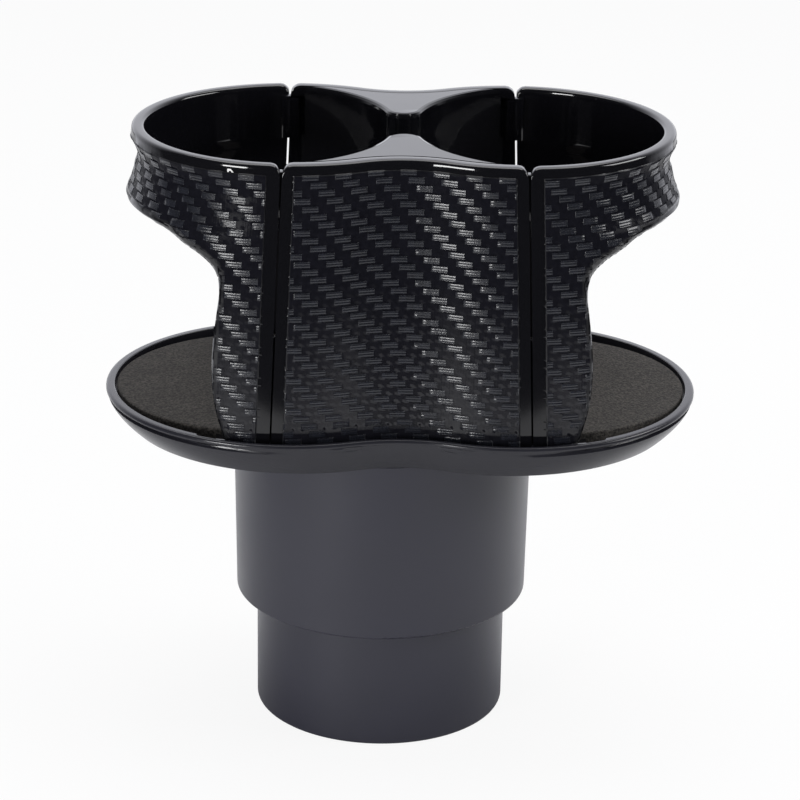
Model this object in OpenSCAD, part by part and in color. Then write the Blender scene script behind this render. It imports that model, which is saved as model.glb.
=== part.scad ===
// Double cup holder for a car: a stepped plug drops into the car's own cup well and
// carries an eccentric, freely turning tray with two cup rings above it.
// The frame: origin at the centre of the plug's foot, +Z up the plug's axis, +X along
// the row of two cups, +Y towards the rear of the holder.

/* [Base] */
// Diameter of the plug that drops into the car's own cup well
plug_d = 68.4; // [60:0.2:74]
// Height of the plug, from the foot up to the step
plug_h = 33.9; // [25:0.1:45]
// Diameter of the drum just above the step
drum_d = 79.6; // [78:0.2:84]
// Height of the drum, from the step up to its open mouth
drum_h = 49.4; // [40:0.1:70]
// Growth of the drum's radius from the step to the mouth, for mould release
drum_draft = 0.7; // [0:0.05:1.2]
// Wall of the base cup
base_wall = 2.4; // [1.8:0.1:3]
// Rounding of the foot's edge
foot_round = 1.0; // [0.4:0.1:2]
// Rounding of the step's lower edge
step_round = 0.8; // [0.3:0.1:1.4]
// Number of screw posts and stiffening ribs inside the base cup
post_count = 4; // [3:1:6]
// Diameter of a screw post
post_d = 6.4; // [5.4:0.2:7]

/* [Swivel] */
// Distance from the swivel's axis to the middle of the holder
swivel_offset = 4.6; // [2:0.1:6]
// Thickness of the swivel plate that closes the drum
plate_t = 2.6; // [2:0.1:3.4]
// Depth of the swivel plate's face below the drum's mouth
plate_sink = 0.7; // [0.4:0.1:1.2]
// Diameter of the pivot boss on the swivel plate
boss_d = 11; // [9:0.5:13]
// Running clearance of the pivot boss in the tray, on the radius
run_clear = 0.05; // [0.02:0.01:0.1]
// Free play between the turning faces
face_play = 0.3; // [0.2:0.05:0.5]
// Outer diameter of the turntable ring under the tray
ring_d = 63.6; // [58:0.2:64]
// Width of the turntable ring
ring_w = 2.2; // [1.6:0.1:3]
// Diameter of the pivot washer
washer_d = 19; // [16:0.5:20]
// Thickness of the pivot washer
washer_t = 1.2; // [0.8:0.1:1.4]
// Shank diameter of the pivot screw
pivot_screw_d = 4; // [3:0.5:5]

/* [Tray] */
// Distance between the centres of the two cup lobes
lobe_pitch = 59; // [56:0.5:62]
// Radius of the tray's rim round each lobe
tray_r = 50; // [49:0.1:52]
// How much the tray draws in at its waist
tray_waist_in = 5; // [4:0.1:5.4]
// Height of the tray, from its lower edge to its rim
tray_h = 9; // [8.4:0.1:12]
// How far the skirt draws in towards its lower edge, at the front
skirt_in = 3.6; // [2:0.1:4]
// How much more the skirt draws in at the two ends
skirt_end_in = 2.3; // [0:0.1:3]
// Width of the flat on the tray's rim
rim_w = 2.4; // [1.8:0.1:3]
// Width of the rim where the recess is cut out for the legs
rim_thin_w = 1.1; // [0.8:0.1:1.6]
// Thickness of the deck that carries everything above
deck_t = 2.4; // [1.8:0.1:2.6]
// Thickness of a foam pad
pad_t = 3; // [2:0.1:4]
// How far a pad's face lies below the rim
pad_sink = 0.3; // [0:0.1:1]
// Diameter of a foam pad
pad_d = 76.8; // [74:0.2:77]
// Free gap round a pad
pad_gap = 0.5; // [0.3:0.1:1]

/* [Cups] */
// Height of the cup rings' top above the tray's rim
cups_h = 71.9; // [60:0.1:90]
// Outer radius of a cup ring
cup_r = 42; // [41:0.1:42.4]
// Wall of the cup ring at its top
wall_t = 3.5; // [3:0.1:4]
// Half depth of the holder at its waist, at the top
waist_top = 35.2; // [34:0.1:37]
// Half depth of the front panel at its waist, at its foot
waist_foot = 40; // [39:0.1:41]
// How far the walls lean out from the top down to the deck
lean = 2.8; // [1.5:0.1:3]
// Half the distance between the two seams of the front panel, at the top
seam_top = 31; // [30.4:0.1:31.6]
// Half the distance between the two seams of the front panel, at the deck
seam_foot = 33.8; // [33:0.1:34.4]
// Gap at a seam between the front panel and an arm
seam_gap = 0.6; // [0.4:0.1:1]
// Rounding of the corners that meet at a seam's top
corner_r = 2.6; // [1:0.1:3]
// Height of the smooth band along the top
band_h = 2.6; // [2:0.1:4]
// Width of the smooth strip beside a seam on an arm
arm_strip = 3.4; // [2:0.1:5]
// Width of the smooth strip beside a seam on the front panel
panel_strip = 2.9; // [2:0.1:5]
// How far the grained field stands proud of the smooth strips
field_proud = 0.3; // [0.1:0.05:0.4]

/* [Pillars] */
// Radius of the concave face that a pillar turns to a cup
hollow_r = 38; // [37:0.1:38.6]
// Distance of that face's axis from the holder's middle, along the row
hollow_x = 41.5; // [41:0.1:42]
// Distance of that face's axis from the holder's middle, towards its own pillar
hollow_y = 3; // [2:0.1:4]
// Half the distance between the tips of the two pillars
tip_y = 9.3; // [8.6:0.1:10]
// Wall of a pillar
pillar_wall = 1.7; // [1.3:0.1:1.8]
// Rounding of a pillar's top edge towards the cups
edge_round = 1.3; // [0.6:0.1:1.6]
// Thickness of a pillar's top
cap_t = 3; // [2.4:0.1:4]
// Gap between a pillar's top and the panel's lip
groove_w = 0.3; // [0.2:0.05:0.5]
// Wall of the front panel below its lip
panel_wall = 1.5; // [1:0.1:1.6]

/* [Arms] */
// Wall of an arm
arm_wall = 3.2; // [2.6:0.1:3.5]
// Height of an arm's lower edge above the deck, at its outer end
window_h = 56.6; // [50:0.1:60]
// Distance from the holder's middle to the free edge of a leg
leg_x = 48.9; // [47:0.1:50]
// Reach of the foot flange beyond a leg
foot_reach = 3.3; // [2:0.1:4]
// Thickness of the foot flange
foot_t = 1.5; // [1:0.1:2]
// Height of the catch that joins an arm to a pillar
catch_h = 11; // [6:0.5:16]
// Depth of the catch below the top
catch_drop = 3.4; // [3.2:0.1:6]

/* [Hidden] */
$fn = 96;

// Colours as moulded
gloss_black = "#16161a";
satin_grey = "#3c3c41";
drum_blue = "#2b2c33";
foam_brown = "#4b4742";
zinc = "#b9bcc0";

// Heights
mouth_z = plug_h + drum_h;
plate_z = mouth_z - plate_sink;
tray_gap = 2 * face_play;
tray_waist = tray_r - tray_waist_in;
tray_z = mouth_z + tray_gap;
rim_z = tray_z + tray_h;
deck_z = rim_z - pad_t - pad_sink;
top_z = rim_z + cups_h;
walls_h = top_z - deck_z;
half_pitch = lobe_pitch / 2;
ring_z = plate_z + face_play;

// Pivot
well_floor_z = tray_z + 0.1;
washer_z = plate_z + (deck_z - plate_z) * 0.55;
well_floor_top = washer_z - face_play;
well_r = washer_d / 2 + 1.5;
well_wall = 2;
thread_clear = 0.05;

// Screws
small_screw_d = 2.6;
small_head_d = 4.8;
small_head_h = 1.7;
plate_screw_l = 9;
pivot_screw_l = 11;
pivot_head_d = 8;
through = 20;
post_r = (drum_d / 2 - base_wall) - post_d / 2 + 0.4;
post_depth = 12;
rib_t = 1.4;
rib_h = 13;
plate_edge_gap = 0.3;
pillar_screw_y = [tip_y + 7.2, tip_y + 15.2];
pillar_post_d = 5.2;
pillar_post_h = 14;
pillar_screw_reach = 8;

// Panel and arms
skin = 0.01;
lip_h = cap_t;
catch_depth = 2;
catch_arm_w = 1.5;
catch_panel_w = 2.3;
tongue_t = 1.2;
tenon_l = 9;
tenon_t = 1.6;
tenon_gap = 0.25;
tenon_reach = 1.4;
barb = 0.6;

// Share of the way from the top of the walls down to the deck
function fall(z) = (top_z - z) / walls_h;
function seam_x(z) = seam_top + (seam_foot - seam_top) * fall(z);
function lean_at(z) = lean * fall(z);
function waist_at(z) = waist_top + (waist_foot - waist_top) * fall(z);

// Outline of two lobes joined by a concave waist
function waist_fillet(r, d, p) = (p * p + d * d - r * r) / (2 * (r - d));
function outline_y(x, r, d, p = half_pitch) =
    let (f = waist_fillet(r, d, p), meet = p * f / (r + f))
    abs(x) < meet ? d + f - sqrt(f * f - x * x) : sqrt(r * r - pow(abs(x) - p, 2));

module outline(r, d, p = half_pitch) {
    f = waist_fillet(r, d, p);
    meet_x = p * f / (r + f);
    meet_y = (d + f) * r / (r + f);
    translate([p, 0]) circle(r);
    translate([-p, 0]) circle(r);
    difference() {
        square([2 * meet_x, 2 * meet_y], center = true);
        for (s = [-1, 1]) translate([0, s * (d + f)]) circle(f);
    }
}

// The same outline as points, with even steps on every arc
function quarter(r, d, p, n) =
    let (f = waist_fillet(r, d, p), turn = atan2(d + f, p))
    concat(
        [for (i = [0:n - 1]) let (a = (180 - turn) * i / n) [p + r * cos(a), r * sin(a)]],
        [for (i = [0:2]) let (a = (90 - turn) * (1 - i / 3)) [f * sin(a), d + f - f * cos(a)]]
    );
function outline_points(r, d, p, n) =
    let (q = quarter(r, d, p, n), m = len(q))
    concat(
        q,
        [[0, d]],
        [for (i = [m - 1:-1:1]) [-q[i][0], q[i][1]]],
        [for (i = [0:m - 1]) [-q[i][0], -q[i][1]]],
        [[0, -d]],
        [for (i = [m - 1:-1:1]) [q[i][0], -q[i][1]]]
    );
function lift(points, z) = [for (q = points) [q[0], q[1], z]];

// Skin through a row of closed rings of equal length; closed joins the last to the first
module loft(rings, closed = false) {
    n = len(rings);
    m = len(rings[0]);
    last = closed ? n - 1 : n - 2;
    sides = [for (j = [0:last], k = [0:m - 1])
        let (a = j * m + k, b = j * m + (k + 1) % m)
        let (c = ((j + 1) % n) * m + (k + 1) % m, d = ((j + 1) % n) * m + k)
        each [[a, b, c], [a, c, d]]];
    caps = closed ? [] : [
        [for (k = [m - 1:-1:0]) k],
        [for (k = [0:m - 1]) (n - 1) * m + k]
    ];
    polyhedron(points = [for (r = rings) each r], faces = concat(sides, caps), convexity = 8);
}

// Cross-head screw, its head's seat at z = 0 and its shank pointing down
module screw(d, l, head_d, head_h) {
    slot_w = d * 0.28;
    difference() {
        rotate_extrude() polygon([
            [0, -l], [d / 2 - 0.4, -l], [d / 2, -l + 0.6], [d / 2, 0], [head_d / 2, 0],
            [head_d / 2, head_h * 0.5], [head_d / 2 - head_h * 0.45, head_h], [0, head_h]
        ]);
        for (a = [0, 90]) rotate(a) translate([-d * 0.45, -slot_w / 2, head_h * 0.45])
            cube([d * 0.9, slot_w, head_h]);
    }
}

module holder() translate([swivel_offset, 0, 0]) children();

// Screw places
module at_posts() {
    for (i = [0:post_count - 1]) rotate(45 + i * 360 / post_count) translate([post_r, 0, 0])
        children();
}
module at_pillar_screws() {
    holder() for (s = [-1, 1], y = pillar_screw_y) translate([0, s * y, 0]) children();
}

// Base
module base_cup() {
    plug_r = plug_d / 2;
    step_r = drum_d / 2;
    mouth_r = step_r + drum_draft;
    seat_z = plate_z - plate_t;
    shelf_z = plug_h + base_wall;
    wall_mid_r = step_r - base_wall / 2;
    color(drum_blue) union() {
        rotate_extrude() difference() {
            union() {
                translate([0, foot_round]) square([plug_r, plug_h]);
                square([plug_r - foot_round, foot_round + skin]);
                translate([plug_r - foot_round, foot_round]) circle(foot_round, $fn = 48);
                polygon([
                    [0, plug_h + step_round], [step_r, plug_h + step_round], [mouth_r, mouth_z], [0, mouth_z]
                ]);
                translate([0, plug_h]) square([step_r - step_round, 2 * step_round]);
                translate([step_r - step_round, plug_h + step_round]) circle(step_round, $fn = 48);
            }
            translate([0, base_wall]) square([plug_r - base_wall, mouth_z]);
            polygon([
                [0, shelf_z], [step_r - base_wall, shelf_z],
                [mouth_r - base_wall, mouth_z + 1], [0, mouth_z + 1]
            ]);
            translate([-2 * plug_r, 0]) square([2 * plug_r, mouth_z + 2]);
        }
        at_posts() difference() {
            union() {
                translate([0, 0, shelf_z - 1]) cylinder(d = post_d, h = seat_z - shelf_z + 1);
                translate([0, -post_d * 0.4, shelf_z - 1])
                    cube([wall_mid_r - post_r, post_d * 0.8, seat_z - shelf_z + 1]);
            }
            translate([0, 0, seat_z - post_depth])
                cylinder(d = small_screw_d + 2 * thread_clear, h = post_depth + 1, $fn = 32);
        }
        for (i = [0:post_count - 1]) rotate(i * 360 / post_count)
            translate([plug_r - base_wall / 2, -rib_t / 2, shelf_z - 1])
                cube([wall_mid_r - plug_r + base_wall / 2, rib_t, rib_h]);
    }
}

module swivel_plate() {
    rim_r = drum_d / 2 + drum_draft - base_wall - plate_edge_gap - 0.2;
    boss_top = washer_z;
    color(gloss_black) translate([0, 0, plate_z]) difference() {
        union() {
            translate([0, 0, -plate_t]) cylinder(r = rim_r, h = plate_t);
            cylinder(d = boss_d, h = boss_top - plate_z);
            translate([0, 0, -plate_t - 5]) cylinder(d = boss_d, h = 5 + skin);
            for (a = [0, 60, 120]) rotate(a) translate([-rim_r * 0.7, -0.8, -plate_t - 4])
                cube([rim_r * 1.4, 1.6, 4 + skin]);
        }
        translate([0, 0, -plate_t - 6])
            cylinder(d = pivot_screw_d + 2 * thread_clear, h = through, $fn = 32);
        at_posts() {
            translate([0, 0, -plate_t - 1]) cylinder(d = small_screw_d + 0.5, h = plate_t + 2, $fn = 32);
            translate([0, 0, -1]) cylinder(d = small_head_d + 0.4, h = 2, $fn = 32);
        }
    }
}

module plate_screws() {
    color(zinc) at_posts() translate([0, 0, plate_z - 1])
        screw(small_screw_d, plate_screw_l, small_head_d, small_head_h);
}

module pivot_washer() {
    color(zinc) translate([0, 0, washer_z]) difference() {
        cylinder(d = washer_d, h = washer_t);
        translate([0, 0, -1]) cylinder(d = pivot_screw_d + 0.4, h = washer_t + 2, $fn = 48);
    }
}

module pivot_screw() {
    head_h = deck_z - washer_z - washer_t - 0.3;
    color(zinc) translate([0, 0, washer_z + washer_t])
        screw(pivot_screw_d, pivot_screw_l, pivot_head_d, head_h);
}

// Tray
// A cross-section line of the rim and skirt: how far in, how far the lobes draw
// together, and the height
function skirt_ring(inset, draw, z) =
    lift(outline_points(tray_r - inset, tray_waist - inset, half_pitch - draw, 20), z);

// Line of the curved skirt, t being the share of the way down to its lower edge
function skirt_curve(t, start, top) =
    let (bow = pow(t, 1.5))
    skirt_ring(start + (skirt_in - start) * bow, skirt_end_in * bow, top - (top - tray_z) * t);

module skirt() {
    bead = 0.7;
    wall = 2.2;
    loft([
        skirt_ring(skirt_in + wall, skirt_end_in, tray_z),
        skirt_ring(skirt_in * 0.45 + wall, skirt_end_in * 0.4, tray_z + tray_h * 0.3),
        skirt_ring(rim_w, 0, deck_z - 0.4),
        skirt_ring(rim_w, 0, rim_z),
        skirt_ring(0.6, 0, rim_z),
        skirt_ring(0.2, 0, rim_z - 0.15),
        skirt_ring(0, 0, rim_z - 0.5),
        skirt_ring(0, 0, rim_z - 1.1),
        skirt_ring(bead, 0, rim_z - 1.4),
        for (t = [0, 0.2, 0.4, 0.6, 0.8, 1]) skirt_curve(t, bead, rim_z - 1.7)
    ], closed = true);
}

// Where the legs and panels stand, the recess is cut closer to the rim's edge
module leg_recess() {
    reach = leg_x + foot_reach + 0.6;
    translate([0, 0, deck_z]) linear_extrude(tray_h) intersection() {
        outline(tray_r - rim_thin_w, tray_waist - rim_thin_w);
        square([2 * reach, 3 * tray_r], center = true);
    }
}

module tenon_places() {
    for (sx = [-1, 1], sy = [-1, 1]) tenon_place(sx, sy) children();
}
module tenon_place(sx, sy) {
    mid_r = cup_r + lean - arm_wall / 2;
    a = acos(((seam_foot + leg_x) / 2 - 2 - half_pitch) / mid_r);
    translate([sx * (half_pitch + mid_r * cos(a)), sy * mid_r * sin(a), 0])
        rotate(sx * sy * a + (sx > 0 ? 0 : 180)) children();
}

// A layer of the deck, its edge held inside the skirt's wall
module deck_layer(z, h, inset) {
    holder() translate([0, 0, z]) linear_extrude(h) outline(tray_r - inset, tray_waist - inset);
}

module tray() {
    edge_t = 1.2;
    color(satin_grey) difference() {
        union() {
            holder() skirt();
            deck_layer(deck_z - edge_t, edge_t, rim_w - 0.2);
            deck_layer(deck_z - deck_t, deck_t - edge_t / 2, rim_w + 0.9);
            translate([0, 0, well_floor_z]) cylinder(r = well_r + well_wall, h = deck_z - well_floor_z);
            translate([0, 0, ring_z]) difference() {
                cylinder(d = ring_d, h = deck_z - deck_t / 2 - ring_z);
                translate([0, 0, -1]) cylinder(d = ring_d - 2 * ring_w, h = through);
            }
        }
        holder() leg_recess();
        translate([0, 0, well_floor_top]) cylinder(r = well_r, h = through);
        translate([0, 0, well_floor_z - 1])
            cylinder(r = boss_d / 2 + run_clear, h = through);
        at_pillar_screws() translate([0, 0, deck_z - deck_t - 1])
            cylinder(d = small_screw_d + 0.5, h = deck_t + 2, $fn = 32);
        holder() tenon_places() translate([0, 0, deck_z - deck_t / 2]) cube([
            tenon_t + 2 * tenon_gap + barb, tenon_l + 2 * tenon_gap, deck_t * 2
        ], center = true);
    }
}

// Pads
module pad_shape() {
    centre = tray_r + half_pitch - rim_w - pad_gap - pad_d / 2;
    clear_r = hollow_r - pad_gap;
    intersection() {
        translate([centre, 0]) circle(d = pad_d);
        union() {
            for (s = [-1, 1]) translate([hollow_x, s * hollow_y]) circle(clear_r);
            translate([hollow_x, -pad_d / 2]) square(pad_d);
        }
    }
}
module pad(s) {
    color(foam_brown) holder() translate([0, 0, deck_z]) linear_extrude(pad_t)
        mirror([s < 0 ? 1 : 0, 0]) pad_shape();
}
module pad_left() { pad(-1); }
module pad_right() { pad(1); }

// Pillars, drawn for the front and turned half a turn for the rear
module each_side(side) {
    holder() rotate(side == "front" ? 0 : 180) children();
}

// Where the hollow face of a pillar meets the round inside of the cup ring
function hollow_top(x) = hollow_y + sqrt(pow(hollow_r, 2) - pow(x - hollow_x, 2));
function ring_top(x) = sqrt(pow(cup_r - wall_t, 2) - pow(x - half_pitch, 2));
function join_x(lo, hi, n = 24) =
    let (mid = (lo + hi) / 2)
    n == 0 ? mid : hollow_top(mid) > ring_top(mid) ? join_x(lo, mid, n - 1) : join_x(mid, hi, n - 1);
hill_x = join_x(half_pitch - 8, half_pitch + 2);

// Tip circle that touches both hollow faces
function tip_circle(grow) =
    let (r = hollow_r + grow, t = tip_y + grow - hollow_y)
    (hollow_x * hollow_x + t * t - r * r) / (2 * (r - t));

// Opening of a cup in plan, grown by a wall
module cup_opening(grow) {
    intersection() {
        translate([hollow_x, -hollow_y]) circle(hollow_r + grow);
        translate([-tray_r, -2 * tray_r]) square([hill_x + tray_r, 4 * tray_r]);
    }
    intersection() {
        translate([half_pitch, 0]) circle(cup_r - wall_t + grow);
        translate([hill_x, -2 * tray_r]) square([3 * tray_r, 4 * tray_r]);
    }
}

// Solid plan of a pillar, up to an outer line that lies inset from the outside
module pillar_plan(grow, inset) {
    tip_r = tip_circle(grow);
    tip_c = tip_y + grow + tip_r;
    away = sqrt(pow(hollow_x, 2) + pow(tip_c - hollow_y, 2));
    touch_y = hollow_y + (tip_c - hollow_y) * (hollow_r + grow) / away;
    translate([0, -tip_c]) circle(tip_r);
    difference() {
        intersection() {
            outline(cup_r - inset, waist_top - inset);
            translate([-tray_r, -touch_y - 2 * tray_r]) square([2 * tray_r, 2 * tray_r]);
        }
        cup_opening(grow);
        mirror([1, 0]) cup_opening(grow);
    }
}

// Ring that rounds an edge in three facets: side is 1 round a hollow face, -1 on the tip
module edge_cut(r, side) {
    past = 0.2;
    e = edge_round;
    foot = [-past * (1 - cos(30)), -past * sin(30)];
    crest = [1 + past * cos(60), 1 + past * (1 - sin(60))];
    arc = [foot, [1 - cos(30), sin(30)], [1 - cos(60), sin(60)], crest];
    translate([0, 0, top_z - e]) rotate_extrude() polygon([
        [r - side, foot[1] * e],
        for (p = arc) [r + side * p[0] * e, p[1] * e],
        [r + side * crest[0] * e, e + 1],
        [r - side, e + 1]
    ]);
}

// Top of a pillar, its edge towards the cups and along the tip rounded
module pillar_top() {
    tip_r = tip_circle(0);
    tip_c = tip_y + tip_r;
    tip_run = 3 * tip_r;
    turn = atan2(hollow_x, tip_c - hollow_y);
    far = [tip_run * sin(turn), tip_run * cos(turn)];
    wedge = [[0, 0], far, [0, tip_run], [-far[0], far[1]]];
    difference() {
        translate([0, 0, top_z - cap_t]) linear_extrude(cap_t) pillar_plan(0, wall_t + groove_w);
        intersection() {
            translate([0, -tip_c, 0]) edge_cut(tip_r, -1);
            translate([0, -tip_c, top_z - edge_round - 1]) linear_extrude(2 * edge_round + 2) polygon(wedge);
        }
        for (s = [-1, 1]) difference() {
            translate([s * hollow_x, -hollow_y, 0]) edge_cut(hollow_r, 1);
            translate([0, -tip_c, top_z - edge_round - 2]) linear_extrude(2 * edge_round + 4) polygon(wedge);
        }
    }
}

module pillar(side) {
    wall_top = top_z - cap_t;
    front_top = wall_top - corner_r - 0.6;
    lean_angle = atan((seam_foot - seam_top) / walls_h);
    color(gloss_black) each_side(side) union() {
        pillar_top();
        difference() {
            union() {
                translate([0, 0, deck_z]) linear_extrude(front_top - deck_z) difference() {
                    pillar_plan(0, wall_t - pillar_wall);
                    pillar_plan(pillar_wall, -tray_r / 2);
                }
                translate([0, 0, front_top]) linear_extrude(wall_top - front_top) difference() {
                    pillar_plan(0, wall_t + groove_w);
                    pillar_plan(pillar_wall, -tray_r / 2);
                }
                translate([0, 0, deck_z]) pillar_posts();
                pillar_catches(front_top);
            }
            for (s = [-1, 1]) translate([s * (seam_top - seam_gap / 2), 0, top_z])
                rotate([0, -s * lean_angle, 0]) translate([s > 0 ? 0 : -40, -80, -100])
                    cube([40, 160, 110]);
        }
    }
}

// Screw posts and cross ribs inside a pillar
module pillar_posts() {
    difference() {
        union() for (y = pillar_screw_y) {
            translate([0, -y, 0]) cylinder(d = pillar_post_d, h = pillar_post_h, $fn = 48);
            half = hollow_x - sqrt(pow(hollow_r, 2) - pow(y - hollow_y, 2)) - pillar_wall / 2;
            translate([-half, -y - 0.6, 0.6]) cube([2 * half, 1.2, pillar_post_h - 2]);
        }
        for (y = pillar_screw_y) translate([0, -y, -1])
            cylinder(d = small_screw_d + 2 * thread_clear, h = pillar_post_h, $fn = 32);
    }
}

// The pillar's half of a catch, with the pocket for the arm's tongue
module pillar_catches(front_top) {
    inner_y = cup_r - wall_t;
    z0 = top_z - catch_drop - catch_h;
    for (s = [-1, 1]) difference() {
        translate([s > 0 ? seam_top - catch_panel_w : -seam_top - 1, -inner_y + catch_depth, z0])
            mirror([0, 1, 0]) {
                cube([catch_panel_w + 1, catch_depth - groove_w, catch_h]);
                cube([catch_panel_w + 1, catch_depth + pillar_wall / 2, front_top - 1 - z0]);
            }
        translate([s > 0 ? seam_top - 1.5 : -seam_top - 2.5, -inner_y + 0.25, z0 + 1.3])
            cube([4, tongue_t + 0.3, catch_h - 2.6]);
    }
}

module pillar_front() { pillar("front"); }
module pillar_rear() { pillar("rear"); }

module pillar_screws() {
    color(zinc) at_pillar_screws() translate([0, 0, deck_z - deck_t]) mirror([0, 0, 1])
        screw(small_screw_d, pillar_screw_reach, small_head_d, small_head_h);
}

// Panels
// Drop of the top edge near a seam, d being the distance from the seam
function corner_drop(d) =
    d >= corner_r ? 0 : corner_r - sqrt(pow(corner_r, 2) - pow(corner_r - max(d, 0), 2));
function smooth(t) = let (u = min(max(t, 0), 1)) u * u * (3 - 2 * u);

// Columns beside a seam: distance from the seam's edge and whether the field has begun
strip_steps = [0, 0.25, 0.5, 0.75, 1];
function strip_columns(w) = concat(
    [for (t = strip_steps) [corner_r * t, 0]],
    [[w, 0], [w + field_proud, 1]]
);

// Rows of the outer face: depth below the top, edge rounding, whether the field has begun
outer_rows = [
    [0, 0.9, 0], [0.25, 0.25, 0], [0.9, 0, 0], [band_h, 0, 0], [band_h + field_proud, 0, 1]
];

function panel_point(side, off, row_d, inset, f, thick) =
    let (d = off[0], drop = corner_drop(d) * (1 - smooth(row_d / 14)))
    let (z = top_z - row_d - drop, x = side * (seam_x(z) - seam_gap / 2 - d))
    let (grow = lean_at(z) - inset + field_proud * f * off[1] - thick)
    let (sink = waist_at(z) - waist_top)
    [x, -outline_y(x, cup_r + grow, waist_top + sink - inset + field_proud * f * off[1] - thick), z];

function panel_column(side, off) =
    let (deep = top_z - deck_z, lip = lip_h - 0.1)
    concat(
        [for (r = outer_rows) panel_point(side, off, r[0], r[1], r[2], 0)],
        [for (t = [0.22, 0.48, 0.74, 1]) panel_point(side, off, deep * t, 0, 1, 0)],
        [panel_point(side, off, deep, 0, 0, panel_wall)],
        [panel_point(side, off, lip + 0.2, 0, 0, panel_wall)],
        [panel_point(side, off, lip, 0, 0, wall_t)],
        [panel_point(side, off, 0.3, 0, 0, wall_t)],
        [panel_point(side, off, 0, 0.3, 0, wall_t - 0.6)]
    );

module panel(side) {
    w = panel_strip;
    cols = strip_columns(w);
    start = cols[len(cols) - 1][0];
    mid_n = 22;
    color(gloss_black) each_side(side) loft(concat(
        [for (c = cols) panel_column(-1, c)],
        [for (i = [1:mid_n - 1])
            let (reach = seam_top - seam_gap / 2 - start)
            panel_column(i < mid_n / 2 ? -1 : 1, [
                start + (i < mid_n / 2 ? reach * 2 * i / mid_n : reach * 2 * (1 - i / mid_n)), 1
            ])],
        [for (i = [len(cols) - 1:-1:0]) panel_column(1, cols[i])]
    ));
}
module panel_front() { panel("front"); }
module panel_rear() { panel("rear"); }

// Arms
// Swell of the ring at its outer end, by depth below the top: lip, neck, then flare
ring_swell = [
    [0, 0], [2.4, 0], [4, -0.9], [6, -1.8], [7.8, -2.2], [10.4, -1.5], [13.6, -0.9],
    [16.7, 0.3], [18.8, 1.8], [25.8, 2.5], [90, 2.5]
];
function swell(depth) = lookup(depth, ring_swell);

// Point of an arm's skin. off holds the distance from the seam, whether the field has
// begun, and the turn round the ring, from 1 at the rear seam to -1 at the front one
function arm_point(off, deep, inset, f, inner) =
    let (drop = corner_drop(off[0]) * (1 - smooth(deep / 14)), z = top_z - deep - drop)
    let (base_r = inner ? cup_r - wall_t + (lean + wall_t - arm_wall) * fall(z) : cup_r + lean_at(z))
    let (edge_r = base_r + (inner ? inset : field_proud * f * off[1] - inset))
    let (phi = acos((seam_x(z) + seam_gap / 2 + off[0] - half_pitch) / edge_r) * off[2])
    let (r = edge_r + (inner ? max(swell(deep), 0) * 0.85 : swell(deep)) * cos(phi))
    [half_pitch + r * cos(phi), r * sin(phi), z];

function arm_column(off) =
    let (deep = top_z - deck_z)
    concat(
        [for (r = outer_rows) arm_point(off, r[0], r[1], r[2], false)],
        [for (d = [4, 6, 7.8, 10.4, 13.6, 16.7, 18.8, 25.8, 42, 58]) arm_point(off, d, 0, 1, false)],
        [arm_point(off, deep, 0, 1, false)],
        [arm_point(off, deep, 0, 0, true)],
        [for (d = [50, 25.8, 18.8, 12]) arm_point(off, d, 0, 0, true)],
        [arm_point(off, 0.9, 0, 0, true)],
        [arm_point(off, 0.25, 0.25, 0, true)],
        [arm_point(off, 0, 0.8, 0, true)]
    );

// Curve through hand-set points
function spline(p, t) =
    let (n = len(p), i = min(floor(t), n - 2), u = t - i)
    let (a = p[max(i - 1, 0)], b = p[i], c = p[i + 1], d = p[min(i + 2, n - 1)])
    0.5 * (2 * b + (c - a) * u + (2 * a - 5 * b + 4 * c - d) * u * u + (3 * b - a - 3 * c + d) * u * u * u);

// The open window under an arm's ring, cut right through from front to rear
module arm_window() {
    top = deck_z + window_h;
    edge = [
        [leg_x + 27, top], [leg_x + 13, top - 2], [leg_x + 7, top - 4.8], [leg_x + 2.1, top - 7.3],
        [leg_x - 1.2, top - 10.5], [leg_x - 2.1, top - 15], [leg_x - 1.4, top - 21],
        [leg_x - 0.4, top - 29], [leg_x, top - 38], [leg_x - 1, top - 47], [leg_x - 4.3, deck_z - 1]
    ];
    fine = 4;
    translate([0, 80, 0]) rotate([90, 0, 0]) linear_extrude(160) polygon(concat(
        [[leg_x + 50, deck_z - 1], [leg_x + 50, top]],
        [for (i = [0:(len(edge) - 1) * fine]) spline(edge, i / fine)]
    ));
}

module arm_shell() {
    cols = strip_columns(arm_strip);
    start = cols[len(cols) - 1][0];
    n = 30;
    loft(concat(
        [for (c = cols) arm_column([c[0], c[1], 1])],
        [for (i = [1:n - 1]) arm_column([start, 1, 1 - 2 * i / n])],
        [for (i = [len(cols) - 1:-1:0]) arm_column([cols[i][0], cols[i][1], -1])]
    ));
}

// Foot flange and the tongue that snaps through the deck
module arm_foot(s) {
    mid_r = cup_r + lean - arm_wall / 2;
    intersection() {
        translate([0, 0, deck_z]) linear_extrude(foot_t) difference() {
            translate([half_pitch, 0]) circle(cup_r + lean + 1.6);
            translate([half_pitch, 0]) circle(cup_r + lean - arm_wall + 0.2);
        }
        translate([seam_foot + arm_strip, s > 0 ? 0 : -100, deck_z - 1])
            cube([leg_x + foot_reach - 4.3 - seam_foot - arm_strip, 100, foot_t + 2]);
    }
    tenon_place(1, s) {
        translate([-tenon_t / 2, -tenon_l / 2, deck_z - deck_t - tenon_reach])
            cube([tenon_t, tenon_l, deck_t + tenon_reach + 1]);
        translate([0, -tenon_l / 2, deck_z - deck_t - tenon_reach]) rotate([-90, 0, 0])
            linear_extrude(tenon_l) polygon([
                [0, 0], [tenon_t / 2, 0], [tenon_t / 2 + barb, -tenon_reach + 0.3],
                [tenon_t / 2, -tenon_reach + 0.3], [0, -tenon_reach + 0.3]
            ]);
    }
}

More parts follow.
